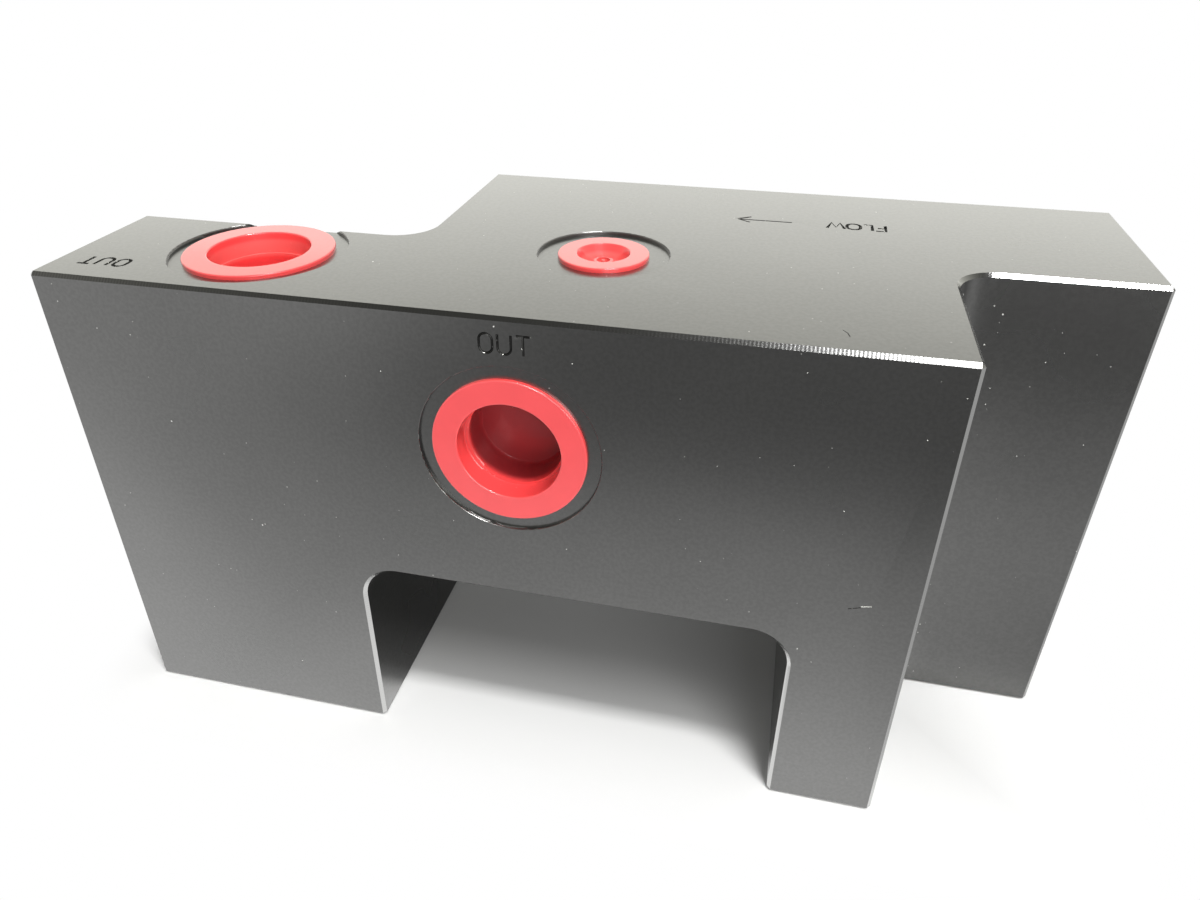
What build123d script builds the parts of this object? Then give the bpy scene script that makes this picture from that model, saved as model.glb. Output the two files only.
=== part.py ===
"""Drilled hydraulic manifold block with plugged ports, in millimetres.

The origin is at the middle of the block's underside. +X runs along the block, towards the inlet end,
+Y from the front face to the back and +Z up. Every piece is one solid in its working place.
"""

import os
from collections import namedtuple
from math import cos, radians, sin, tan

from build123d import *

# ---- block envelope ----
length = 248.0
depth = 101.6
height = 126.2
edge_break = 0.85  # chamfer on every outer edge

# ---- front-right notch, full height ----
front_length = 203.2  # from the left end to the notch
notch_depth = 47.7
notch_fillet = 6.4

# ---- back-left step, open above the left foot ----
step_width = 78.0
arm_depth = 42.4  # what is left in front of the step
step_floor = 76.2  # height of the foot behind the arm
step_fillet = 9.5

# ---- arch between the feet ----
arch_left = 71.5
arch_width = 105.9
arch_height = 53.8
arch_fillet = 9.5

# ---- ports: straight-thread O-ring bosses, modelled at the thread's minor diameter ----
PortSize = namedtuple("PortSize", "spot_radius seat_radius seat_depth minor_radius drill_depth")
main_size = PortSize(spot_radius=20.8, seat_radius=14.6, seat_depth=3.3, minor_radius=12.5, drill_depth=22.4)
gauge_size = PortSize(spot_radius=15.6, seat_radius=7.8, seat_depth=2.5, minor_radius=6.45, drill_depth=15.0)
gallery_size = PortSize(
    spot_radius=12.0, seat_radius=10.3, seat_depth=2.5, minor_radius=8.75, drill_depth=16.6
)
spot_depth = 1.25
rim_break = 0.2  # chamfer on the mouth of each spotface and counterbore
seat_angle = 15  # of the O-ring seat's wall, from the port's axis
lead_angle = 45  # of the cone from the seat to the thread
drill_point = 59  # half of the drill's point angle

# ---- port places ----
front_port_x = 111.9  # from the left end
port_height = 94.3  # axis of the front and inlet ports and of the cross gallery
top_port_x = 43.6  # from the left end
top_port_y = 24.9  # from the front face
gauge_port_x = 124.0  # from the left end
gauge_port_y = 40.9  # from the front face

# ---- drillings ----
passage_radius = 9.5
gallery_y = 29.0  # from the front face
gallery_radius = 8.5
gauge_passage_radius = 5.5

# ---- tapped mounting holes in the feet ----
mount_left = 37.9  # first row, from the left end
mount_spacing_x = 152.4
mount_spacing_y = 69.85  # centred on the block's depth
mount_tap_radius = 3.97
mount_mouth_radius = 4.4  # slight countersink at the hole's mouth
mount_depth = 19.0

# ---- moulded shipping plugs ----
PlugSize = namedtuple("PlugSize", "flange_radius mouth_radius wall skirt_depth floor_depth")
main_plug = PlugSize(flange_radius=17.7, mouth_radius=11.9, wall=1.2, skirt_depth=14.4, floor_depth=13.0)
gauge_plug_size = PlugSize(flange_radius=10.8, mouth_radius=6.3, wall=0.9, skirt_depth=10.5, floor_depth=3.8)
flange_thickness = 1.5
flange_round = 0.35
plug_clearance = 0.2  # between a skirt and its port
shoulder_depth = 5.15  # from the flange's face to the ledge inside a main plug
shoulder_step = 0.5  # width of that ledge
floor_cone = 0.5  # how far a main plug's cup narrows at its floor
draft = 2  # degrees, on the moulded walls
gate_radius = 2.3  # ring on the gauge plug's floor
gate_width = 0.7
gate_height = 1.0

# ---- gallery plug and its seal ----
head_clearance = 0.6  # between its head and the counterbore
head_height = 3.6
head_recess = 0.4  # how far the head lies under the end face
head_chamfer = 0.6
hex_across_flats = 9.525
hex_depth = 5.6
thread_clearance = 0.05
thread_length = 11.5
neck_radius = 8.15  # seal groove under the head
neck_length = 3.4
seal_clearance = 0.03

# ---- faces and axes that the sizes give ----
left = -length / 2
right = length / 2
front = -depth / 2
back = depth / 2
notch_x = left + front_length
notch_y = front + notch_depth
step_x = left + step_width
arm_y = front + arm_depth
arch_middle = left + arch_left + arch_width / 2
front_x = left + front_port_x
top_x = left + top_port_x
top_y = front + top_port_y
gauge_x = left + gauge_port_x
gauge_y = front + gauge_port_y
inlet_y = (notch_y + back) / 2
cross_y = front + gallery_y
counterbore_depth = head_height + head_recess

# Each port's plane lies on the face it is cut into, with its Z axis out of the block.
front_plane = Plane(origin=(front_x, front, port_height), x_dir=(1, 0, 0), z_dir=(0, -1, 0))
top_plane = Plane(origin=(top_x, top_y, height), x_dir=(1, 0, 0), z_dir=(0, 0, 1))
gauge_plane = Plane(origin=(gauge_x, gauge_y, height), x_dir=(1, 0, 0), z_dir=(0, 0, 1))
inlet_plane = Plane(origin=(right, inlet_y, port_height), x_dir=(0, 1, 0), z_dir=(1, 0, 0))
gallery_plane = Plane(origin=(left, cross_y, port_height), x_dir=(0, -1, 0), z_dir=(-1, 0, 0))


def half_section(plane):
    """The plane through a port's axis: its X is the radius and its Y points out of the port."""
    return Plane(origin=plane.origin, x_dir=plane.x_dir, z_dir=plane.x_dir.cross(plane.z_dir))


def axis_of(plane):
    """A port's axis."""
    return Axis(plane.origin, plane.z_dir)


def port_profile(plane, size, mouth_depth, passage, reach):
    """Half section of a port: spotface, seal seat, tapped bore and the passage drilled on to reach."""
    seat_floor = mouth_depth + size.seat_depth
    seat_end = size.seat_radius - size.seat_depth * tan(radians(seat_angle))
    bore_start = seat_floor + (seat_end - size.minor_radius) / tan(radians(lead_angle))
    bore_end = mouth_depth + size.drill_depth
    passage_start = bore_end + (size.minor_radius - passage) / tan(radians(drill_point))
    tip = reach + passage / tan(radians(drill_point))
    with BuildSketch(half_section(plane)) as profile:
        with BuildLine():
            Polyline(
                (0, 0),
                (size.spot_radius + rim_break, 0),
                (size.spot_radius, -rim_break),
                (size.spot_radius, -mouth_depth),
                (size.seat_radius, -mouth_depth),
                (seat_end, -seat_floor),
                (size.minor_radius, -bore_start),
                (size.minor_radius, -bore_end),
                (passage, -passage_start),
                (passage, -reach),
                (0, -tip),
                close=True,
            )
        make_face()
    return profile.sketch


# ---- block ----
with BuildPart() as manifold_block:
    with BuildSketch():
        with BuildLine():
            Polyline(
                (left, front),
                (notch_x, front),
                (notch_x, notch_y),
                (right, notch_y),
                (right, back),
                (left, back),
                close=True,
            )
        make_face()
        notch_corner = vertices().sort_by_distance((notch_x, notch_y))[0]
        fillet(notch_corner, notch_fillet)
    extrude(amount=height)

    with BuildSketch(Plane.XY.offset(step_floor)):
        with BuildLine():
            Polyline((left, arm_y), (step_x, arm_y), (step_x, back), (left, back), close=True)
        make_face()
        step_corner = vertices().sort_by_distance((step_x, arm_y))[0]
        fillet(step_corner, step_fillet)
    extrude(amount=height - step_floor, mode=Mode.SUBTRACT)

    with BuildSketch(Plane.XZ.offset(-front)):
        with Locations((arch_middle, arch_height / 2)):
            Rectangle(arch_width, arch_height)
        fillet(vertices().group_by(Axis.Y)[-1], arch_fillet)
    extrude(amount=-depth, mode=Mode.SUBTRACT)

    outer_faces = ShapeList()
    for direction in (Axis.X, Axis.Y, Axis.Z):
        sides = faces().group_by(direction)
        outer_faces += sides[0] + sides[-1]
    chamfer(edges().filter_by(lambda edge: any(edge in face.edges() for face in outer_faces)), edge_break)

    # Front outlet: drilled on to the inlet passage's axis, with its point beyond.
    front_reach = inlet_y - front
    revolve(
        port_profile(front_plane, main_size, spot_depth, passage_radius, front_reach),
        axis_of(front_plane),
        mode=Mode.SUBTRACT,
    )
    # Inlet: drilled along the block to meet the front outlet's passage.
    revolve(
        port_profile(inlet_plane, main_size, spot_depth, passage_radius, right - front_x),
        axis_of(inlet_plane),
        mode=Mode.SUBTRACT,
    )
    # Top outlet: drilled down to the cross gallery.
    revolve(
        port_profile(top_plane, main_size, spot_depth, passage_radius, height - port_height),
        axis_of(top_plane),
        mode=Mode.SUBTRACT,
    )
    # Gauge port: its drilling runs down beside the front outlet's passage and breaks into its side.
    revolve(
        port_profile(gauge_plane, gauge_size, spot_depth, gauge_passage_radius, height - port_height),
        axis_of(gauge_plane),
        mode=Mode.SUBTRACT,
    )
    # Cross gallery: from the left end, past the top outlet, to the front outlet's passage.
    revolve(
        port_profile(gallery_plane, gallery_size, counterbore_depth, gallery_radius, front_x - left),
        axis_of(gallery_plane),
        mode=Mode.SUBTRACT,
    )

    # Four tapped mounting holes, two in each foot.
    with BuildSketch(Plane.XZ) as mount_profile:
        with BuildLine():
            Polyline(
                (0, 0),
                (mount_mouth_radius, 0),
                (mount_tap_radius, mount_mouth_radius - mount_tap_radius),
                (mount_tap_radius, mount_depth),
                (0, mount_depth + mount_tap_radius / tan(radians(drill_point))),
                close=True,
            )
        make_face()
    mount_hole = revolve(mount_profile.sketch, Axis.Z, mode=Mode.PRIVATE)
    with Locations((left + mount_left + mount_spacing_x / 2, 0)):
        with GridLocations(mount_spacing_x, mount_spacing_y, 2, 2):
            add(mount_hole, mode=Mode.SUBTRACT)

manifold_block.part.label = "manifold_block"


# ---- shipping plugs ----
flange_face = flange_thickness - spot_depth  # how far a plug stands over the face of the block


def round_rims(plug, plane):
    """Round the circular edges of a plug's flange face, outside and at the cup's mouth."""
    rims = plug.edges().filter_by(GeomType.CIRCLE)
    outermost = rims.group_by(lambda rim: plane.to_local_coords(rim.arc_center).Z)[-1]
    fillet(outermost, flange_round)


def make_main_plug(plane, name):
    """Cup-shaped plug of an outlet or the inlet: flange, shoulder, tapered skirt and closed end."""
    ledge = flange_face - shoulder_depth
    upper_radius = main_plug.mouth_radius + main_plug.wall
    lower_radius = main_size.minor_radius - plug_clearance
    inner_radius = lower_radius - main_plug.wall
    lower_taper = (main_plug.skirt_depth - shoulder_depth) * tan(radians(draft))
    floor = flange_face - main_plug.floor_depth
    end = flange_face - main_plug.skirt_depth
    with BuildPart() as plug:
        with BuildSketch(half_section(plane)):
            with BuildLine():
                Polyline(
                    (0, floor),
                    (inner_radius - lower_taper - floor_cone, floor),
                    (inner_radius - lower_taper, floor + floor_cone),
                    (inner_radius, ledge),
                    (inner_radius + shoulder_step, ledge),
                    (main_plug.mouth_radius, flange_face),
                    (main_plug.flange_radius, flange_face),
                    (main_plug.flange_radius, -spot_depth),
                    (upper_radius, -spot_depth),
                    (upper_radius, ledge + main_plug.wall),
                    (lower_radius, ledge),
                    (lower_radius - lower_taper, end),
                    (0, end),
                    close=True,
                )
            make_face()
        revolve(axis=axis_of(plane))
        round_rims(plug, plane)
    plug.part.label = name
    return plug


def make_gauge_plug(plane, name):
    """Small plug: a shallow dished cup with a ring on its floor, over an open skirt."""
    skirt_radius = gauge_size.minor_radius - plug_clearance
    skirt_taper = gauge_plug_size.skirt_depth * tan(radians(draft))
    floor = flange_face - gauge_plug_size.floor_depth
    end = flange_face - gauge_plug_size.skirt_depth
    floor_radius = skirt_radius - gauge_plug_size.wall
    with BuildPart() as plug:
        with BuildSketch(half_section(plane)):
            with BuildLine():
                Polyline(
                    (0, floor),
                    (gate_radius - gate_width, floor),
                    (gate_radius - gate_width, floor + gate_height),
                    (gate_radius, floor + gate_height),
                    (gate_radius, floor),
                    (floor_radius - gate_width, floor),
                    (gauge_plug_size.mouth_radius, flange_face),
                    (gauge_plug_size.flange_radius, flange_face),
                    (gauge_plug_size.flange_radius, -spot_depth),
                    (skirt_radius, -spot_depth),
                    (skirt_radius - skirt_taper, end),
                    (floor_radius - skirt_taper, end),
                    (floor_radius - skirt_taper, floor - gauge_plug_size.wall),
                    (0, floor - gauge_plug_size.wall),
                    close=True,
                )
            make_face()
        revolve(axis=axis_of(plane))
        round_rims(plug, plane)
    plug.part.label = name
    return plug


front_out_plug = make_main_plug(front_plane, "front_out_plug")
top_out_plug = make_main_plug(top_plane, "top_out_plug")
inlet_plug = make_main_plug(inlet_plane, "inlet_plug")
gauge_plug = make_gauge_plug(gauge_plane, "gauge_plug")

# ---- gallery plug: hexagon-socket head, seal neck and thread ----
head_top = -head_recess
head_radius = gallery_size.spot_radius - head_clearance
thread_radius = gallery_size.minor_radius - thread_clearance
thread_start = -counterbore_depth - neck_length
thread_end = thread_start - thread_length
with BuildPart() as gallery_plug:
    with BuildSketch(half_section(gallery_plane)):
        with BuildLine():
            Polyline(
                (0, head_top),
                (head_radius - head_chamfer, head_top),
                (head_radius, head_top - head_chamfer),
                (head_radius, -counterbore_depth),
                (neck_radius, -counterbore_depth),
                (neck_radius, thread_start),
                (thread_radius, thread_start - thread_radius + neck_radius),
                (thread_radius, thread_end + head_chamfer),
                (thread_radius - head_chamfer, thread_end),
                (0, thread_end),
                close=True,
            )
        make_face()
    revolve(axis=axis_of(gallery_plane))
    with BuildSketch(gallery_plane.offset(head_top)):
        RegularPolygon(hex_across_flats / 2, 6, major_radius=False)
    extrude(amount=-hex_depth, mode=Mode.SUBTRACT)
gallery_plug.part.label = "gallery_plug"

# ---- gallery seal: an O-ring that touches neck, head and seat, all but its clearance ----
seat_gap = gallery_size.seat_radius - neck_radius
seat_slope = radians(seat_angle)
seal_radius = seat_gap * cos(seat_slope) / (1 + cos(seat_slope) + sin(seat_slope)) - seal_clearance
seal_offset = seal_radius + seal_clearance
with BuildPart() as gallery_seal:
    with BuildSketch(half_section(gallery_plane)):
        with Locations((neck_radius + seal_offset, -counterbore_depth - seal_offset)):
            Circle(seal_radius)
    revolve(axis=axis_of(gallery_plane))
gallery_seal.part.label = "gallery_seal"

os.makedirs("parts", exist_ok=True)
pieces = (manifold_block, front_out_plug, top_out_plug, inlet_plug, gauge_plug, gallery_plug, gallery_seal)
for piece in pieces:
    export_step(piece.part, f"parts/{piece.part.label}.step")
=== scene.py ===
"""Looks of a plugged hydraulic manifold block: engraved black anodising, machined edges and moulded plugs."""

from math import cos, pi, radians, sin

import bpy
from bpy.props import FloatProperty, FloatVectorProperty, PointerProperty
from mathutils import Matrix, Vector


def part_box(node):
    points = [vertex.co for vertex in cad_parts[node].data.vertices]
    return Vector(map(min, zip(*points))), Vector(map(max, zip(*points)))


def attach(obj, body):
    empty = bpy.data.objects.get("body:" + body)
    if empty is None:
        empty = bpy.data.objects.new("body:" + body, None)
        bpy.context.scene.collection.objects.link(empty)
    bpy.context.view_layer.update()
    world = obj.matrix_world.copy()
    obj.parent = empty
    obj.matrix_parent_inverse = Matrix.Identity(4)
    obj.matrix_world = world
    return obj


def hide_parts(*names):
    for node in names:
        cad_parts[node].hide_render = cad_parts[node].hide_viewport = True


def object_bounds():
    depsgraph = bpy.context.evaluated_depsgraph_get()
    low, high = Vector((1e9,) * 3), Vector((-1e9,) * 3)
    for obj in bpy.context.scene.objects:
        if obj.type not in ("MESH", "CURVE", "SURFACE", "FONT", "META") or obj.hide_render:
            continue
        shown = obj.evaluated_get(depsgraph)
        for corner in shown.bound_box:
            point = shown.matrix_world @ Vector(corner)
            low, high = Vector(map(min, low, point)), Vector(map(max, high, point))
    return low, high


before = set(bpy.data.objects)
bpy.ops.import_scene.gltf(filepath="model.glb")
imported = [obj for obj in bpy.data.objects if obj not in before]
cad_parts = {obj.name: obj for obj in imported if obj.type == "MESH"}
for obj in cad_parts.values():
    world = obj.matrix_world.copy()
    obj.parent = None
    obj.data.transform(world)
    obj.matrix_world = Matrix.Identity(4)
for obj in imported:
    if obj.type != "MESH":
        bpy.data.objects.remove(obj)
CAD_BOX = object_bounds()

bl_info = {
    "name": "Manifold Block Finisher",
    "version": (1, 0, 0),
    "blender": (4, 5, 0),
    "location": "3D View > Sidebar > Manifold",
    "description": "Engraves, finishes and stages a plugged hydraulic manifold block",
    "category": "Object",
}

MM = 0.001
X, Y, Z = range(3)
BLOCK_NODE = "manifold_block"
GAUGE_NODE = "gauge_plug"
PLUG_SIDES = {  # the axis that each plug's port stands on, and the side of the block it opens to
    "front_out_plug": (Y, -1),
    "top_out_plug": (Z, 1),
    "inlet_plug": (X, 1),
    GAUGE_NODE: (Z, 1),
}
CHAMFERS, BORES = 1, 2  # material slots of the block, after slot 0 of its anodised faces
SPOT_REACH = 22 * MM  # radius that holds a spotface and the flange on it
TOUCHING = 0.01 * MM  # a point this near to a surface lies on it
LAMP_TARGET = (0.0, 0.0, 0.06)
CAMERA_PLACE = (0.04113, -0.20622, 0.19879)
CAMERA_TURN = (58.557, 0.179, 13.529)  # degrees
CAMERA_SHIFT = (0.0189, -0.01276)


# ---------------------------------------------------------------- settings


class BlockSettings(bpy.types.PropertyGroup):
    """Sizes and colours of the anodised block."""

    anodising: FloatVectorProperty(
        name="Anodising", description="Reflection colour of the black anodising", subtype="COLOR",
        size=3, min=0.0, max=1.0, default=(0.212, 0.212, 0.207),
    )
    edge_metal: FloatVectorProperty(
        name="Edge", description="Reflection colour of the milled chamfers", subtype="COLOR",
        size=3, min=0.0, max=1.0, default=(0.27, 0.27, 0.265),
    )
    dust: FloatVectorProperty(
        name="Dust", description="Colour of the dust specks", subtype="COLOR",
        size=3, min=0.0, max=1.0, default=(0.8, 0.8, 0.76),
    )
    satin: FloatProperty(
        name="Satin", description="Roughness of the anodised faces", min=0.05, max=1.0, default=0.28,
    )
    edge_satin: FloatProperty(
        name="Edge Satin", description="Roughness of the milled chamfers", min=0.05, max=1.0, default=0.14,
    )
    chatter_pitch: FloatProperty(
        name="Chatter Pitch", description="Distance between the cutter's marks along a chamfer",
        unit="LENGTH", precision=5, default=0.75 * MM,
    )
    front_stroke: FloatProperty(
        name="Front Stroke", description="Width of a line engraved in the front face",
        unit="LENGTH", precision=5, default=0.54 * MM,
    )
    top_stroke: FloatProperty(
        name="Top Stroke", description="Width of a line engraved in the top face",
        unit="LENGTH", precision=5, default=0.82 * MM,
    )
    cap_height: FloatProperty(
        name="Letter Height", description="Height of the engraved letters between stroke centres",
        unit="LENGTH", precision=5, default=4.4 * MM,
    )
    notch_wall: FloatProperty(
        name="Notch Wall", description="Distance of the notch's wall from the block's left end",
        unit="LENGTH", precision=5, default=203.2 * MM,
    )
    notch_face: FloatProperty(
        name="Notch Face", description="Distance of the notch's rear face from the block's front",
        unit="LENGTH", precision=5, default=47.7 * MM,
    )
    built_seat: FloatProperty(
        name="Built Seat", description="Depth of the port spotfaces as the block brings them",
        unit="LENGTH", precision=5, default=1.25 * MM,
    )
    shown_seat: FloatProperty(
        name="Shown Seat", description="Depth that the port spotfaces and the flanges on them are brought to",
        unit="LENGTH", precision=5, default=0.8 * MM,
    )
    built_fillet: FloatProperty(
        name="Built Fillet", description="Radius of the notch's inner corner as the block brings it",
        unit="LENGTH", precision=5, default=6.4 * MM,
    )
    shown_fillet: FloatProperty(
        name="Shown Fillet", description="Radius that the notch's inner corner is widened to",
        unit="LENGTH", precision=5, default=9.5 * MM,
    )


class PlugSettings(bpy.types.PropertyGroup):
    """Colours of the plugs and of the gallery plug's parts."""

    red: FloatVectorProperty(
        name="Red", description="Colour of the moulded shipping plugs", subtype="COLOR",
        size=3, min=0.0, max=1.0, default=(1.0, 0.098, 0.106),
    )
    # painted shade and painted red interreflection: a deeper, darker red for the rims and cup walls
    cup_shade_red: FloatVectorProperty(
        name="Cup Red", description="Colour of the rims and cup walls, where red lights red", subtype="COLOR",
        size=3, min=0.0, max=1.0, default=(1.0, 0.075, 0.077),
    )
    # painted light: a paler red for the flat tops and the top cups, open to the overhead light
    sky_light_red: FloatVectorProperty(
        name="Sky Red", description="Colour of the flanges open to the overhead light", subtype="COLOR",
        size=3, min=0.0, max=1.0, default=(1.0, 0.19, 0.175),
    )
    # painted shade: a dark red for the plug deep down in its bore
    deep_shade_red: FloatVectorProperty(
        name="Deep Red", description="Colour of the thin wall that stands in the dark bore", subtype="COLOR",
        size=3, min=0.0, max=1.0, default=(0.31, 0.025, 0.03),
    )
    dusty_red: FloatVectorProperty(
        name="Dusty Red", description="Colour of the plastic under a speck of dust", subtype="COLOR",
        size=3, min=0.0, max=1.0, default=(0.95, 0.6, 0.58),
    )
    gloss: FloatProperty(
        name="Plug Roughness", description="Roughness of the moulded plastic",
        min=0.05, max=1.0, default=0.34,
    )
    cup_depth: FloatProperty(
        name="Cup Depth", description="Depth of the gauge plug's cup below its flange",
        unit="LENGTH", precision=5, default=3.8 * MM,
    )
    ring_reach: FloatProperty(
        name="Ring Reach", description="Radius that holds the gate ring on the cup's floor",
        unit="LENGTH", precision=5, default=2.4 * MM,
    )
    ring_height: FloatProperty(
        name="Ring Height", description="Height of the gate ring over the cup's floor as the plug brings it",
        unit="LENGTH", precision=5, default=1.0 * MM,
    )
    ring_lift: FloatProperty(
        name="Ring Lift", description="How much higher the gate ring is shown",
        unit="LENGTH", precision=5, default=0.95 * MM,
    )
    gate_foot: FloatProperty(
        name="Gate Foot", description="Radius of the cut-off gate at the cup's floor",
        unit="LENGTH", precision=5, default=0.85 * MM,
    )
    gate_tip: FloatProperty(
        name="Gate Tip", description="Radius of the cut-off gate at its tip",
        unit="LENGTH", precision=5, default=0.5 * MM,
    )
    zinc: FloatVectorProperty(
        name="Zinc", description="Reflection colour of the zinc plating", subtype="COLOR",
        size=3, min=0.0, max=1.0, default=(0.5, 0.5, 0.49),
    )
    rubber: FloatVectorProperty(
        name="Rubber", description="Colour of the seal", subtype="COLOR",
        size=3, min=0.0, max=1.0, default=(0.02, 0.02, 0.02),
    )


class StageSettings(bpy.types.PropertyGroup):
    """Floor, light and camera."""

    floor_size: FloatProperty(
        name="Floor", description="Side of the square floor", unit="LENGTH", default=8.0,
    )
    floor_colour: FloatVectorProperty(
        name="Floor Colour", description="Colour of the floor", subtype="COLOR",
        size=3, min=0.0, max=1.0, default=(0.93, 0.93, 0.92),
    )
    lamp_height: FloatProperty(
        name="Lamp Height", description="Height of the lamps over the floor", unit="LENGTH", default=1.35,
    )
    key_power: FloatProperty(
        name="Key Power", description="Power of the overhead lamp in watts",
        min=0.0, default=12.5,
    )
    soft_power: FloatProperty(
        name="Soft Power", description="Power of the large lamp before the block in watts",
        min=0.0, default=6.0,
    )
    front_power: FloatProperty(
        name="Front Power", description="Power of the low lamp before the block in watts",
        min=0.0, default=10.4,
    )
    back_power: FloatProperty(
        name="Back Power", description="Power of the long lamp behind the block in watts",
        min=0.0, default=2.8,
    )
    fill: FloatProperty(
        name="Fill", description="Strength of the surroundings as light", min=0.0, default=0.25,
    )
    backdrop: FloatVectorProperty(
        name="Backdrop", description="Colour of the surroundings in the block's gloss", subtype="COLOR",
        size=3, min=0.0, max=1.0, default=(1.0, 0.995, 0.91),
    )
    lens: FloatProperty(
        name="Lens", description="Focal length in millimetres", min=1.0, default=26.647,
    )


# ---------------------------------------------------------------- shader arithmetic


class Value:
    """A shader socket that ordinary arithmetic works on."""

    def __init__(self, tree, socket):
        self.tree = tree
        self.socket = socket

    def maths(self, operation, *values):
        return self.tree.add("ShaderNodeMath", {"operation": operation}, dict(enumerate(values)))

    def __add__(self, other):
        return self.maths("ADD", self, other)

    def __sub__(self, other):
        return self.maths("SUBTRACT", self, other)

    def __rsub__(self, other):
        return self.maths("SUBTRACT", other, self)

    def __mul__(self, other):
        return self.maths("MULTIPLY", self, other)

    def __truediv__(self, other):
        return self.maths("DIVIDE", self, other)

    def __lt__(self, other):
        return self.maths("LESS_THAN", self, other)

    def __gt__(self, other):
        return self.maths("GREATER_THAN", self, other)

    __radd__ = __add__
    __rmul__ = __mul__

    def sine(self):
        return self.maths("SINE", self)

    def size(self):
        return self.maths("ABSOLUTE", self)

    def root(self):
        return self.maths("SQRT", self)

    def most(self, other):
        return self.maths("MAXIMUM", self, other)

    def least(self, other):
        return self.maths("MINIMUM", self, other)

    def within(self, low, high):
        """1 between low and high, and 0 outside."""
        return (self > low) * (self < high)

    def ease(self, low, high):
        """0 below low, 1 above high and smooth between."""
        limits = {"Value": self, "From Min": low, "From Max": high}
        return self.tree.add("ShaderNodeMapRange", {"interpolation_type": "SMOOTHSTEP"}, limits)

    def axis(self, index):
        """One component of a vector."""
        return self.tree.add("ShaderNodeSeparateXYZ", {}, {"Vector": self}, index)


def rgba(colour):
    """A plain colour as a colour socket takes it. A linked colour stays as it is."""
    return colour if isinstance(colour, Value) else (*colour, 1.0)


def shade(colour, factor):
    """A colour this many times as light."""
    return tuple(channel * factor for channel in colour)


class Tree:
    """A node tree under construction."""

    def __init__(self, node_tree):
        self.nodes = node_tree.nodes
        self.links = node_tree.links
        self.nodes.clear()

    def add(self, kind, settings, inputs, output=0):
        """A node of this kind: its settings first, then the values or links of its sockets."""
        node = self.nodes.new(kind)
        for name, value in settings.items():
            setattr(node, name, value)
        for name, value in inputs.items():
            if isinstance(value, Value):
                self.links.new(value.socket, node.inputs[name])
            else:
                node.inputs[name].default_value = value
        return Value(self, node.outputs[output]) if len(node.outputs) else None

    def blend(self, share, first, second):
        """A colour between two colours."""
        factor, colour_a, colour_b, result = 0, 6, 7, 2  # sockets of the Mix node when it mixes colours
        inputs = {factor: share, colour_a: rgba(first), colour_b: rgba(second)}
        return self.add("ShaderNodeMix", {"data_type": "RGBA"}, inputs, result)

    def place(self):
        """The point on the object, in the object's own metres."""
        return self.add("ShaderNodeTexCoord", {}, {}, "Object")

    def facing(self):
        """The direction that the surface faces, in the object's own axes."""
        return self.add("ShaderNodeTexCoord", {}, {}, "Normal")

    def rays(self):
        """Whether the eye itself looks here, and whether gloss or glass does."""
        eye, glossy, through = (
            self.add("ShaderNodeLightPath", {}, {}, name)
            for name in ("Is Camera Ray", "Is Glossy Ray", "Is Transmission Ray")
        )
        return eye, glossy.most(through)

    def noise(self, where, scale, detail=2.0):
        """Soft noise from 0 to 1, with about this many swells to the metre."""
        inputs = {"Vector": where, "Scale": scale, "Detail": detail}
        return self.add("ShaderNodeTexNoise", {}, inputs, "Fac")

    def specks(self, where, cell, share, radius, seed=0.0):
        """Round specks of up to this radius, in this share of the cells. A seed moves them all."""
        moved = self.add(
            "ShaderNodeVectorMath", {"operation": "ADD"}, {0: where, 1: (seed, seed * 0.7, seed * 1.3)}
        )
        cells = {"Vector": moved, "Scale": 1 / cell}
        distance = self.add("ShaderNodeTexVoronoi", {"feature": "F1"}, cells, "Distance")
        chance = self.add("ShaderNodeTexVoronoi", {"feature": "F1"}, cells, "Color").axis(X)
        reach = (chance - (1 - share)) / share * (radius / cell)
        return reach > distance

    def bump(self, height, distance):
        """A normal from a height, whose full step is this many metres."""
        return self.add("ShaderNodeBump", {}, {"Distance": distance, "Height": height})


def make_material(name):
    """A new material, and its node tree with nothing in it."""
    material = bpy.data.materials.new(name)
    material.use_nodes = True
    return material, Tree(material.node_tree)


def finish_surface(tree, **inputs):
    """A shader with these sockets set or linked, joined to the material's output."""
    named = {name.replace("_", " ").title().replace("Ior", "IOR"): value for name, value in inputs.items()}
    shader = tree.add("ShaderNodeBsdfPrincipled", {}, named)
    tree.add("ShaderNodeOutputMaterial", {}, {"Surface": shader})


def anodised_material(settings):
    """Satin black anodising: finely mottled, with a little dust, and residue dried in the notch's corner."""
    material, tree = make_material("black_anodising")
    where = tree.place()
    cloud = tree.noise(where, 14.0, detail=3.0)
    mottle = tree.noise(where, 1100.0)
    grain = tree.noise(where, 2600.0)

    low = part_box(BLOCK_NODE)[0]
    wall = low.x + settings.notch_wall
    rear = low.y + settings.notch_face
    past, along_rear, along_wall = 1 * MM, 14 * MM, 11 * MM  # how far the residue reaches from the corner
    in_corner = (
        where.axis(X).within(wall - past, wall + along_rear)
        * where.axis(Y).within(rear - along_wall, rear + past)
    )
    residue = tree.specks(where, cell=1.1 * MM, share=0.16, radius=0.22 * MM, seed=5.3) * in_corner
    coarse = tree.specks(where, cell=4.6 * MM, share=0.2, radius=0.2 * MM)
    fine = tree.specks(where, cell=1.7 * MM, share=0.2, radius=0.15 * MM, seed=3.1)
    dust = coarse.most(fine * 0.9).most(residue * 0.75)
    clean = 1 - dust

    lightness = cloud.ease(0.3, 0.7) * 0.5 + mottle.ease(0.3, 0.7) * 0.5
    anodising = tree.blend(lightness, shade(settings.anodising, 0.88), shade(settings.anodising, 1.12))
    finish_surface(
        tree,
        base_color=tree.blend(dust, anodising, settings.dust),
        metallic=clean,
        roughness=(cloud - 0.5) * 0.05 + settings.satin + dust * 0.5,
        coat_weight=clean,
        coat_roughness=0.24,
        coat_ior=1.5,
        normal=tree.bump(grain, 0.0015 * MM),
    )
    return material


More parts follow.
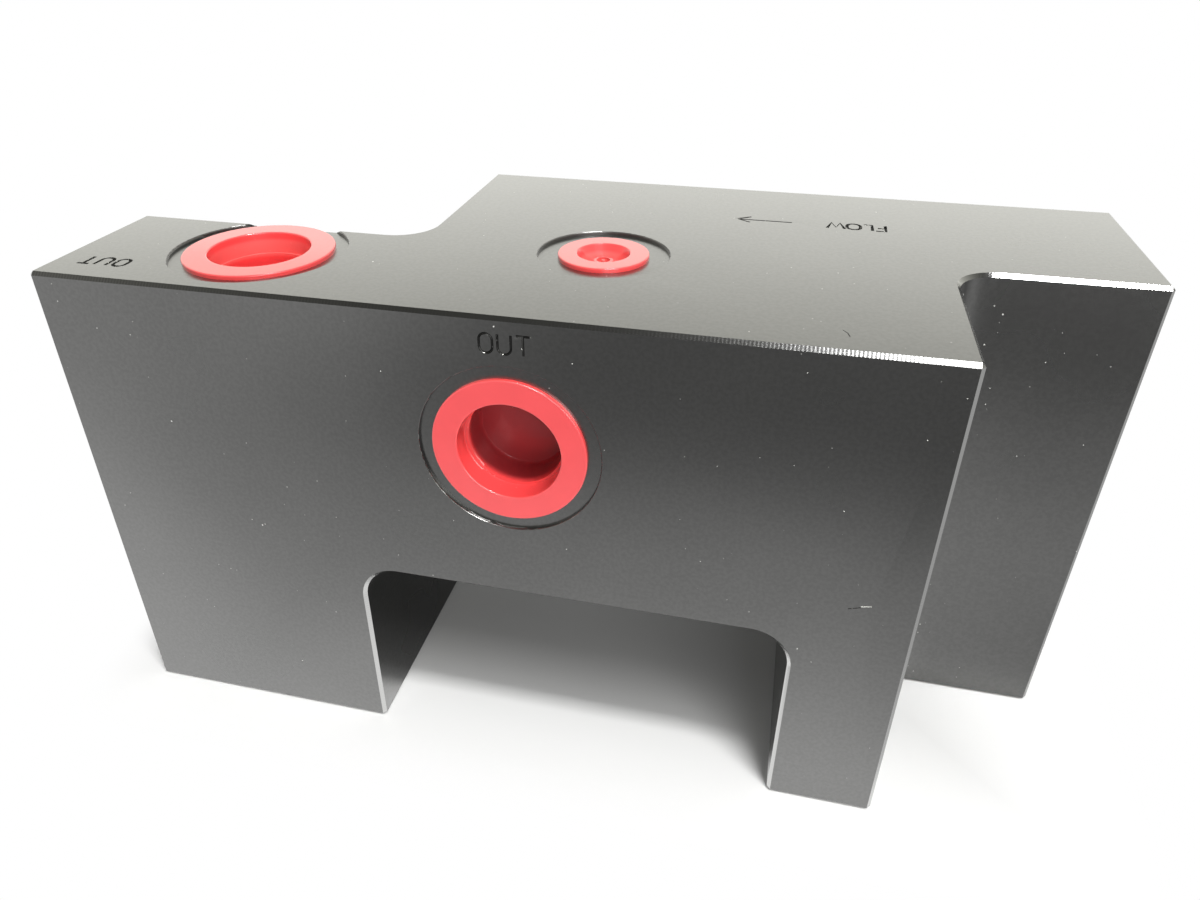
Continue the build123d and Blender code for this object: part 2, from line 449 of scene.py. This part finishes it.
def bored_shade_material(settings):
    """Walls of the shallow counterbores: the same anodising made darker as painted shade in the recess, and
    dull from the boring bar.
    """
    material, tree = make_material("bored_wall_shade")
    streaks = tree.noise(tree.place(), 1800.0)
    finish_surface(
        tree,
        base_color=tree.blend(streaks, shade(settings.anodising, 0.5), shade(settings.anodising, 0.8)),
        metallic=1.0,
        roughness=streaks * 0.1 + 0.33,
        coat_weight=0.5,
        coat_roughness=0.3,
        normal=tree.bump(streaks, 0.005 * MM),
    )
    return material


def milled_edge_material(settings):
    """Chamfers as the cutter left them, with chatter marks along them. The upright ones carry painted light:
    a brighter reflection colour.
    """
    material, tree = make_material("milled_edge")
    where = tree.place()
    facing = tree.facing()
    square_on = 0.35  # a chamfer faces two axes by more than this, and runs along the third
    along = sum(where.axis(n) * (facing.axis(n).size() < square_on) for n in (X, Y, Z))
    marks = (along * (2 * pi / settings.chatter_pitch)).sine() * 0.5 + 0.5
    depth = tree.noise(where, 30.0, detail=1.0).ease(0.35, 0.75) * 0.2 + 0.8
    # painted light: the upright chamfers get a brighter reflection colour
    upright = 1 - facing.axis(Z).size().ease(0.2, 0.5)
    upright_painted_light = shade(settings.edge_metal, 2.3)
    finish_surface(
        tree,
        base_color=tree.blend(upright, settings.edge_metal, upright_painted_light),
        metallic=1.0,
        roughness=tree.noise(where, 900.0) * 0.02 + (settings.edge_satin - 0.01),
        coat_weight=0.8,
        coat_roughness=0.22,
        normal=tree.bump(marks * depth, 0.011 * MM),
    )
    return material


def engraved_material(settings):
    """The cut floor of an engraved line: darkened as painted shade in the groove, with the cutter's fine
    steps and a few bright specks as painted glints.
    """
    material, tree = make_material("engraved_line")
    where = tree.place()
    steps = tree.noise(where, 5200.0, detail=1.0)
    # painted glints: bright specks of reflection colour
    painted_glint = tree.noise(where, 1500.0).ease(0.62, 0.68)
    finish_surface(
        tree,
        base_color=tree.blend(painted_glint, shade(settings.anodising, 0.22), shade(settings.dust, 0.85)),
        metallic=1.0,
        roughness=0.48 - painted_glint * 0.22,
        normal=tree.bump(steps, 0.03 * MM),
    )
    return material


def exposed_and_glint_material(settings):
    """Aluminium exposed where a scratch went through the anodising, and the same colour for the painted glint
    at the arrow's tip.
    """
    material, tree = make_material("exposed_metal_and_glint")
    grit = tree.noise(tree.place(), 3600.0)
    finish_surface(
        tree,
        base_color=tree.blend(grit, shade(settings.dust, 0.8), settings.dust),
        metallic=0.3,
        roughness=grit * 0.2 + 0.4,
    )
    return material


def red_plastic_material(settings):
    """Glossy moulded polyethylene, with painted light where it lies open overhead, and painted shade on its
    rims and cup walls and down in the bores.
    """
    material, tree = make_material("red_plastic")
    where = tree.place()
    flow = tree.noise(where, 160.0, detail=3.0).ease(0.3, 0.7)
    skin = tree.noise(where, 1500.0, detail=3.0)

    # where a point lies on its plug, by its depth below the block's outer planes
    low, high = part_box(BLOCK_NODE)
    below_top = high.z - where.axis(Z)
    depth = (high.x - where.axis(X)).least(where.axis(Y) - low.y).least(below_top)
    flat_on_top = tree.facing().axis(Z).ease(0.7, 0.95)
    in_cup = depth.ease(-0.25 * MM, 0.15 * MM)
    open_cup = depth.ease(1 * MM, 2 * MM) * (1 - below_top.ease(5 * MM, 6 * MM))
    overhead = 1 - below_top.ease(15 * MM, 18 * MM)
    deep_shade = depth.ease(4.8 * MM, 7.5 * MM) * (1 - overhead * 0.8)

    # painted light on the flat tops and in the top cups, painted shade on the rims and cup walls and deep in
    # the bores
    red = tree.blend(flow, shade(settings.red, 0.97), settings.red)
    for share, colour in (
        (flat_on_top, settings.sky_light_red),
        (in_cup, settings.cup_shade_red),
        (open_cup * 0.7, settings.sky_light_red),
        (deep_shade, settings.deep_shade_red),
    ):
        red = tree.blend(share, red, colour)

    coarse = tree.specks(where, cell=2.2 * MM, share=0.12, radius=0.17 * MM, seed=1.7)
    fine = tree.specks(where, cell=0.7 * MM, share=0.3, radius=0.14 * MM, seed=2.9)
    on_ledge = depth.ease(0.5 * MM, 1.5 * MM) * (1 - deep_shade)
    dust = (coarse * 0.5).most(fine * on_ledge * 0.3)
    finish_surface(
        tree,
        base_color=tree.blend(dust, red, settings.dusty_red),
        roughness=(skin - 0.5) * 0.12 + settings.gloss,
        coat_weight=1 - deep_shade * 0.8,
        coat_roughness=0.08,
        normal=tree.bump(skin, 0.01 * MM),
    )
    return material


def zinc_material(settings):
    """Zinc-plated steel with turned rings about the gallery's axis."""
    material, tree = make_material("zinc_plating")
    where = tree.place()
    low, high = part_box("gallery_plug")
    centre = (low + high) / 2
    across = where.axis(Y) - centre.y
    up = where.axis(Z) - centre.z
    radius = (across * across + up * up).root()
    ring_pitch = 0.35 * MM
    rings = (radius * (2 * pi / ring_pitch)).sine()
    patina = tree.noise(where, 220.0, detail=3.0)
    finish_surface(
        tree,
        base_color=tree.blend(patina.ease(0.35, 0.7), shade(settings.zinc, 0.75), settings.zinc),
        metallic=1.0,
        roughness=patina * 0.2 + 0.2,
        normal=tree.bump(rings, 0.008 * MM),
    )
    return material


def rubber_material(settings):
    """Matt nitrile rubber."""
    material, tree = make_material("seal_rubber")
    bloom = tree.noise(tree.place(), 700.0, detail=3.0)
    finish_surface(
        tree,
        base_color=tree.blend(bloom, settings.rubber, shade(settings.rubber, 2.2)),
        roughness=bloom * 0.2 + 0.5,
        normal=tree.bump(bloom, 0.02 * MM),
    )
    return material


# ---------------------------------------------------------------- engraving


def arc(centre, radius, start, end):
    """Points on an arc, from and to these angles in degrees."""
    steps = 10
    turn = (end - start) / steps
    angles = [radians(start + turn * n) for n in range(steps + 1)]
    return [(centre[0] + radius * cos(a), centre[1] + radius * sin(a)) for a in angles]


def letter_strokes(letter, width, cap):
    """A letter's centre lines, from its lower left corner. Only the line of an O closes on itself."""
    middle = width / 2
    quarter = width / 4
    bowl = arc((middle, middle), middle, 180, 360)
    strokes = {
        "O": [bowl + arc((middle, cap - middle), middle, 0, 180)],
        "U": [[(0, cap), *bowl, (width, cap)]],
        "T": [[(0, cap), (width, cap)], [(middle, cap), (middle, 0)]],
        "L": [[(0, cap), (0, 0), (width, 0)]],
        "F": [[(width, cap), (0, cap), (0, 0)], [(0, cap / 2), (width * 0.8, cap / 2)]],
        "W": [[(0, cap), (quarter, 0), (middle, cap * 0.8), (width - quarter, 0), (width, cap)]],
    }
    return strokes[letter]


class Face:
    """A plane that marks are cut into: its origin, and the directions that the marks read and stand in."""

    def __init__(self, origin, right, up):
        self.origin = Vector(origin)
        self.right = Vector(right)
        self.up = Vector(up)

    def point(self, x, y):
        return self.origin + self.right * x + self.up * y


def only(thing):
    """Select one object alone and make it active."""
    bpy.ops.object.select_all(action="DESELECT")
    thing.select_set(True)
    bpy.context.view_layer.objects.active = thing


def cutter_for(face, points, radius, closed):
    """A round-nosed cutter's path along these points of a face, as a mesh."""
    path = bpy.data.curves.new("cutter", "CURVE")
    path.dimensions = "3D"
    path.bevel_depth = radius
    path.bevel_resolution = 2
    path.use_fill_caps = True
    run = path.splines.new("POLY")
    run.points.add(len(points) - 1)
    for spot, (x, y) in zip(run.points, points):
        spot.co = (*face.point(x, y), 1.0)
    run.use_cyclic_u = closed
    cutter = bpy.data.objects.new("cutter", path)
    bpy.context.scene.collection.objects.link(cutter)
    only(cutter)
    bpy.ops.object.convert(target="MESH")
    bpy.ops.object.mode_set(mode="EDIT")
    bpy.ops.mesh.select_all(action="SELECT")
    bpy.ops.mesh.remove_doubles(threshold=0.001 * MM)
    bpy.ops.mesh.normals_make_consistent(inside=False)
    bpy.ops.object.mode_set(mode="OBJECT")
    return bpy.context.object


def cut_line(block, face, points, radius, material, closed=False):
    """Cut one engraved line out of the block."""
    cutter = cutter_for(face, points, radius, closed)
    cutter.data.materials.append(material)
    only(block)
    cut = block.modifiers.new("engrave", "BOOLEAN")
    cut.operation = "DIFFERENCE"
    cut.solver = "EXACT"
    cut.material_mode = "TRANSFER"
    cut.object = cutter
    bpy.ops.object.modifier_apply(modifier=cut.name)
    bpy.data.objects.remove(cutter)


def engrave_word(block, face, word, widths, gaps, cap, radius, material):
    """Cut a word, letter by letter, with its letters' widths and the gaps after them in millimetres."""
    start = 0.0
    for letter, width, gap in zip(word, widths, gaps):
        for points in letter_strokes(letter, width * MM, cap):
            moved = [(start + x, y) for x, y in points]
            cut_line(block, face, moved, radius, material, closed=(letter == "O"))
        start += width * MM + gap * MM


def engrave_marks(block, settings, material):
    """Cut OUT by the two outlets, and FLOW with the arrow that points to the left end."""
    low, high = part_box(BLOCK_NODE)
    left, front, top = low.x, low.y, high.z
    front_ways = ((1, 0, 0), (0, 0, 1))
    top_ways = ((-1, 0, 0), (0, -1, 0))  # the words on top are read from behind the block
    front_out = Face((left + 106.75 * MM, front, 118.05 * MM), *front_ways)
    top_out = Face((left + 18.75 * MM, front + 11.95 * MM, top), *top_ways)
    top_flow = Face((left + 189.4 * MM, front + 76.2 * MM, top), *top_ways)
    for face, word, widths, gaps, stroke in (
        (front_out, "OUT", (2.85, 2.85, 2.85), (1.15, 1.15, 0), settings.front_stroke),
        (top_out, "OUT", (2.95, 2.95, 2.95), (1.4, 1.4, 0), settings.top_stroke),
        (top_flow, "FLOW", (2.4, 2.0, 3.3, 4.3), (0.85, 0.85, 0.6, 0), settings.top_stroke),
    ):
        engrave_word(block, face, word, widths, gaps, settings.cap_height, stroke / 2, material)

    top_plane = Face((left, front, top), (1, 0, 0), (0, 1, 0))
    tip = (152.7, 73.9)
    shaft = [(166.3, 73.9), tip]
    barbs = [(155.9, 76.4), tip, (155.8, 71.9)]
    for line in (shaft, barbs):
        points = [(x * MM, y * MM) for x, y in line]
        cut_line(block, top_plane, points, settings.front_stroke / 2 * 1.15, material)


def scratch_faces(block, dark, exposed_and_glint):
    """Cut the short scratches of handling: dark ones with the engraved lines' painted shade, and bright ones
    through to the metal, and a bright dot at the arrow's tip that is a painted glint.
    """
    low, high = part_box(BLOCK_NODE)
    front_plane = Face((low.x, low.y, 0.0), (1, 0, 0), (0, 0, 1))
    top_plane = Face((low.x, low.y, high.z), (1, 0, 0), (0, 1, 0))
    for face, line, radius, material in (
        (front_plane, [(188.1, 64.9), (191.0, 65.85)], 0.11, dark),
        (front_plane, [(190.7, 66.05), (192.9, 66.5)], 0.16, exposed_and_glint),
        (top_plane, [(178.1, 9.5), (179.0, 8.3), (179.4, 6.6)], 0.1, dark),
        # painted glint: a bright dot at the arrow's tip
        (top_plane, [(151.3, 74.1), (151.7, 74.0)], 0.2, exposed_and_glint),
    ):
        cut_line(block, face, [(x * MM, y * MM) for x, y in line], radius * MM, material)


# ---------------------------------------------------------------- pieces


def copy_of_node(node_name, piece_name):
    """A CAD node's mesh as a new piece, its loose triangles merged into whole faces."""
    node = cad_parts[node_name]
    piece = bpy.data.objects.new(piece_name, node.data.copy())
    bpy.context.scene.collection.objects.link(piece)
    piece.data.materials.clear()
    only(piece)
    bpy.ops.object.mode_set(mode="EDIT")
    bpy.ops.mesh.select_all(action="SELECT")
    bpy.ops.mesh.remove_doubles(threshold=0.0005 * MM)
    bpy.ops.mesh.dissolve_limited(angle_limit=radians(0.05))
    bpy.ops.object.mode_set(mode="OBJECT")
    return piece


def even_shading(piece, angle):
    """Smooth the curved faces, and keep the flat ones flat up to their rounded edges."""
    only(piece)
    bpy.ops.object.shade_smooth_by_angle(angle=radians(angle))
    even = piece.modifiers.new("even_shading", "WEIGHTED_NORMAL")
    even.keep_sharp = True
    even.weight = 100
    bpy.ops.object.modifier_apply(modifier=even.name)


def mark_bores(block):
    """Give the walls of the shallow counterbores in the outer planes their own material, darkened as painted
    shade.
    """
    low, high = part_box(BLOCK_NODE)
    shallow = 1.1 * MM
    for face in block.data.polygons:
        for axis in (X, Y, Z):
            inside = min(face.center[axis] - low[axis], high[axis] - face.center[axis])
            upright = abs(face.normal[axis]) < 0.1
            if upright and inside < shallow:
                face.material_index = BORES


def mark_chamfers(block):
    """Give the 45 degree faces at the outer planes the chamfers' material, and small ones the bores' material
    with its painted shade.
    """
    low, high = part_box(BLOCK_NODE)
    slant, slack = cos(pi / 4), 0.02
    shallow = 0.9 * MM
    small = 0.8 * MM * MM  # the facets round the mouth of a hole are smaller
    for face in block.data.polygons:
        for axis in (X, Y, Z):
            slanted = abs(abs(face.normal[axis]) - slant) < slack
            outer = high[axis] if face.normal[axis] > 0 else low[axis]
            if slanted and abs(face.center[axis] - outer) < shallow:
                face.material_index = CHAMFERS if face.area > small else BORES


def shallow_seat(piece, plug_name, built, shown):
    """Bring a port's spotface floor, or the flange that lies on it, nearer to the block's outer plane."""
    axis, side = PLUG_SIDES[plug_name]
    low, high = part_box(BLOCK_NODE)
    outer = high[axis] if side > 0 else low[axis]
    plug_low, plug_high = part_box(plug_name)
    centre = (plug_low + plug_high) / 2
    kept = 0.55 * MM  # what is less deep than this, such as the spotface's broken rim, stays
    moved = 0
    for vertex in piece.data.vertices:
        depth = (outer - vertex.co[axis]) * side
        arm = vertex.co - centre
        arm[axis] = 0.0
        if kept < depth < built + TOUCHING and arm.length < SPOT_REACH:
            depth = kept + (depth - kept) * (shown - kept) / (built - kept)
            vertex.co[axis] = outer - depth * side
            moved += 1
    if not moved:
        raise RuntimeError(f"no seat of the built depth at {plug_name}")


def widen_notch_corner(block, settings):
    """Widen the fillet in the notch's inner corner, with the chamfers that follow it, along their radii."""
    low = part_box(BLOCK_NODE)[0]
    wall = low.x + settings.notch_wall
    rear = low.y + settings.notch_face
    built, shown = settings.built_fillet, settings.shown_fillet
    chamfer = 0.9 * MM
    moved = 0
    for vertex in block.data.vertices:
        x = vertex.co.x - wall - built
        y = vertex.co.y - rear + built
        radius = (x * x + y * y) ** 0.5
        if x < TOUCHING and y > -TOUCHING and -TOUCHING < radius - built < chamfer:
            stretch = (radius - built + shown) / radius
            vertex.co = (wall + shown + x * stretch, rear - shown + y * stretch, vertex.co.z)
            moved += 1
    if not moved:
        raise RuntimeError("the notch has no fillet of the built radius")


class MANIFOLD_OT_engrave_block(bpy.types.Operator):
    """Cut the flow marks into the block and finish its faces and chamfers"""

    bl_idname = "manifold.engrave_block"
    bl_label = "Engrave Block"

    def execute(self, context):
        settings = context.scene.manifold_block
        block = copy_of_node(BLOCK_NODE, "engraved_block")
        for finish in (anodised_material, milled_edge_material, bored_shade_material):
            block.data.materials.append(finish(settings))
        for name in PLUG_SIDES:
            shallow_seat(block, name, settings.built_seat, settings.shown_seat)
        mark_bores(block)
        mark_chamfers(block)
        widen_notch_corner(block, settings)
        cut_floor = engraved_material(settings)
        engrave_marks(block, settings, cut_floor)
        scratch_faces(block, cut_floor, exposed_and_glint_material(settings))
        even_shading(block, angle=25)
        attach(block, "root")
        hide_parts(BLOCK_NODE)
        return {"FINISHED"}


def gated_plug(settings):
    """The gauge plug with its gate ring raised in the cup, and the cut-off gate standing inside the ring."""
    plug = copy_of_node(GAUGE_NODE, "gated_gauge_plug")
    low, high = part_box(GAUGE_NODE)
    centre = (low + high) / 2
    floor = high.z - settings.cup_depth
    ring_top = floor + settings.ring_height
    slack = 0.05 * MM
    raised = 0
    for vertex in plug.data.vertices:
        x, y = vertex.co.x - centre.x, vertex.co.y - centre.y
        if (x * x + y * y) ** 0.5 < settings.ring_reach and abs(vertex.co.z - ring_top) < slack:
            vertex.co.z += settings.ring_lift
            raised += 1
    if not raised:
        raise RuntimeError("the gauge plug has no gate ring at the stated depth")

    height = settings.ring_height + settings.ring_lift
    bpy.ops.object.select_all(action="DESELECT")
    bpy.ops.mesh.primitive_cone_add(
        vertices=32, radius1=settings.gate_foot, radius2=settings.gate_tip, depth=height,
        location=(centre.x, centre.y, floor + height / 2),
    )
    gate = bpy.context.object
    round_tip = gate.modifiers.new("round_tip", "BEVEL")
    round_tip.width = 0.15 * MM
    round_tip.segments = 3
    bpy.ops.object.modifier_apply(modifier=round_tip.name)
    bpy.ops.object.transform_apply(location=True, rotation=True, scale=True)
    only(plug)
    gate.select_set(True)
    bpy.ops.object.join()
    return plug


class MANIFOLD_OT_finish_plugs(bpy.types.Operator):
    """Give the moulded shipping plugs their red plastic"""

    bl_idname = "manifold.finish_plugs"
    bl_label = "Finish Plugs"

    def execute(self, context):
        plastic = red_plastic_material(context.scene.manifold_plugs)
        block = context.scene.manifold_block
        for name in PLUG_SIDES:
            if name == GAUGE_NODE:
                plug = gated_plug(context.scene.manifold_plugs)
            else:
                plug = copy_of_node(name, "moulded_" + name)
            shallow_seat(plug, name, block.built_seat, block.shown_seat)
            plug.data.materials.clear()
            plug.data.materials.append(plastic)
            even_shading(plug, angle=30)
            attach(plug, "root")
            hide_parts(name)
        return {"FINISHED"}


class MANIFOLD_OT_finish_gallery(bpy.types.Operator):
    """Give the gallery plug its plating and its seal its rubber"""

    bl_idname = "manifold.finish_gallery"
    bl_label = "Finish Gallery Plug"

    def execute(self, context):
        settings = context.scene.manifold_plugs
        for name, material in (
            ("gallery_plug", zinc_material(settings)),
            ("gallery_seal", rubber_material(settings)),
        ):
            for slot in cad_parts[name].material_slots:
                slot.material = material
        return {"FINISHED"}


# ---------------------------------------------------------------- stage


def floor_material(settings):
    """Pale floor: white to the eye beyond the block's shadow, with painted shade under the block, and painted
    shade toned by place in the block's gloss.
    """
    material, tree = make_material("studio_floor")
    low, high = CAD_BOX
    where = tree.place()
    x, y = where.axis(X), where.axis(Y)
    eye, gloss = tree.rays()

    def outside(left, right, front, back):
        """Distance outside a rectangle of the floor."""
        off_x = ((x - (left + right) / 2).size() - (right - left) / 2).most(0.0)
        off_y = ((y - (front + back) / 2).size() - (back - front) / 2).most(0.0)
        return (off_x * off_x + off_y * off_y).root()

    beyond = outside(low.x, high.x, low.y, high.y).ease(0.0, 0.022)

    # two rectangles of shaded floor: under and behind the block, left of the notch and right of it
    off_shade = outside(-0.16, 0.079, -0.036, 0.08).least(outside(0.0, high.x, -0.003, 0.08))
    beside = off_shade.ease(0.0, 0.016)
    under = 1 - off_shade.ease(0.0, 0.006)

    # painted shade seen only in gloss: the floor dimmer before the block, to its right, in the notch and
    # further out
    away = y * -1.0
    ahead = ((x + 0.1).least(0.0) * 0.5 - y).ease(0.05, 0.12)
    aside = x.ease(0.06, 0.16) * (1 - away.ease(0.24, 0.34))
    corner = x.ease(0.079, 0.1) * (1 - away.ease(0.03, 0.11))
    far = away.ease(0.14, 0.22) * x.ease(-0.24, -0.06)
    level = (1 - ahead * 0.4) * (1 - aside * 0.3) * (1 - far * 0.72) * (1 - corner * 0.38)

    # painted shade: the floor itself is a little darker under the block, and in its gloss also in the arch
    inward = (high.x - x).least(x - low.x).least(high.y - y).least(y - low.y)
    painted_shade_under = 1 - inward.ease(-0.004, 0.05) * 0.34
    in_arch = gloss * under * (0.65 - x.ease(0.0, 0.05) * 0.45)
    bounce = eye.most((level * 0.7 + 0.3) * (1 - in_arch)) * painted_shade_under
    paper = tree.blend(bounce, (0.0, 0.0, 0.0), settings.floor_colour)
    pale = tree.add("ShaderNodeBsdfDiffuse", {}, {"Color": paper})
    white = tree.add("ShaderNodeEmission", {}, {"Color": rgba((1, 1, 1)), "Strength": eye.most(level)})
    share = eye * beyond + gloss * beside
    surface = tree.add("ShaderNodeMixShader", {}, {0: share, 1: pale, 2: white})
    tree.add("ShaderNodeOutputMaterial", {}, {"Surface": surface})
    return material


def light_world(settings):
    """White surroundings for the eye and for gloss near the horizon, darker overhead, softer as light."""
    world = bpy.data.worlds.new("studio")
    world.use_nodes = True
    bpy.context.scene.world = world
    tree = Tree(world.node_tree)
    towards = tree.add("ShaderNodeTexCoord", {}, {}, "Generated")
    eye, gloss = tree.rays()
    rise = towards.axis(Z) - towards.axis(Y) * 0.15
    band = 1 - rise.ease(0.12, 0.27) * 0.12 - rise.ease(0.15, 0.95) * 0.79
    plain = (1 - gloss) * settings.fill
    level = eye.most(gloss * band + plain)
    warm = tree.blend(gloss, (1, 1, 1), settings.backdrop)
    surface = tree.add("ShaderNodeBackground", {}, {"Color": warm, "Strength": level})
    tree.add("ShaderNodeOutputWorld", {}, {"Surface": surface})


def add_area_lamp(name, size, power, place):
    """A soft rectangular lamp that shines at the block, with its first side level."""
    bpy.ops.object.select_all(action="DESELECT")
    bpy.ops.object.light_add(type="AREA")
    lamp = bpy.context.object
    lamp.name = name
    lamp.data.shape = "RECTANGLE"
    lamp.data.size, lamp.data.size_y = size
    lamp.data.energy = power
    away = (Vector(place) - Vector(LAMP_TARGET)).normalized()
    level = Vector((1, 0, 0))
    level = (level - away * level.dot(away)).normalized()
    turn = Matrix((level, away.cross(level), away)).transposed()
    lamp.location = place
    lamp.rotation_euler = turn.to_euler()


def add_camera(lens):
    """The camera, before the block, over it and a little to the right of its middle."""
    bpy.ops.object.camera_add(location=CAMERA_PLACE, rotation=[radians(angle) for angle in CAMERA_TURN])
    camera = bpy.context.object
    camera.name = "bench_camera"
    camera.data.sensor_width = 36.0
    camera.data.lens = lens
    camera.data.shift_x, camera.data.shift_y = CAMERA_SHIFT
    camera.data.clip_start = 0.01
    bpy.context.scene.camera = camera


class MANIFOLD_OT_build_stage(bpy.types.Operator):
    """Lay the floor, set the lamps and place the camera"""

    bl_idname = "manifold.build_stage"
    bl_label = "Build Stage"

    def execute(self, context):
        settings = context.scene.manifold_stage
        bpy.ops.object.select_all(action="DESELECT")
        bpy.ops.mesh.primitive_plane_add(size=settings.floor_size, location=(0, 0, 0))
        floor = bpy.context.object
        floor.name = "studio_floor"
        floor.location.z = -0.02 * MM  # just clear of the block's underside
        floor.data.materials.append(floor_material(settings))

        light_world(settings)
        height = settings.lamp_height
        for name, size, power, place in (
            ("key_lamp", (0.45, 0.14), settings.key_power, (height * 0.277, height * -0.32, height)),
            ("soft_lamp", (0.5, 0.45), settings.soft_power, (height * 0.38, height * -0.52, height)),
            ("front_lamp", (1.2, 0.6), settings.front_power, (0.8, -1.4, 0.4)),
            ("back_lamp", (4.0, 0.5), settings.back_power, (-0.3, 1.6, 0.5)),
        ):
            add_area_lamp(name, size, power, place)

        add_camera(settings.lens)
        context.scene.view_settings.view_transform = "Standard"
        return {"FINISHED"}


# ---------------------------------------------------------------- panel and registration


class MANIFOLD_PT_panel(bpy.types.Panel):
    """Buttons of the manifold block finisher"""

    bl_label = "Manifold Block"
    bl_space_type = "VIEW_3D"
    bl_region_type = "UI"
    bl_category = "Manifold"

    def draw(self, context):
        for operator in OPERATORS:
            self.layout.operator(operator.bl_idname)


SETTINGS = {
    "manifold_block": BlockSettings,
    "manifold_plugs": PlugSettings,
    "manifold_stage": StageSettings,
}
OPERATORS = (
    MANIFOLD_OT_engrave_block,
    MANIFOLD_OT_finish_plugs,
    MANIFOLD_OT_finish_gallery,
    MANIFOLD_OT_build_stage,
)


def register():
    for made in (*SETTINGS.values(), *OPERATORS, MANIFOLD_PT_panel):
        bpy.utils.register_class(made)
    for name, group in SETTINGS.items():
        setattr(bpy.types.Scene, name, PointerProperty(type=group))


def unregister():
    for name in SETTINGS:
        delattr(bpy.types.Scene, name)
    for made in (MANIFOLD_PT_panel, *OPERATORS, *SETTINGS.values()):
        bpy.utils.unregister_class(made)


def main():
    register()
    bpy.ops.manifold.engrave_block()
    bpy.ops.manifold.finish_plugs()
    bpy.ops.manifold.finish_gallery()
    bpy.ops.manifold.build_stage()


if __name__ == "__main__":
    main()
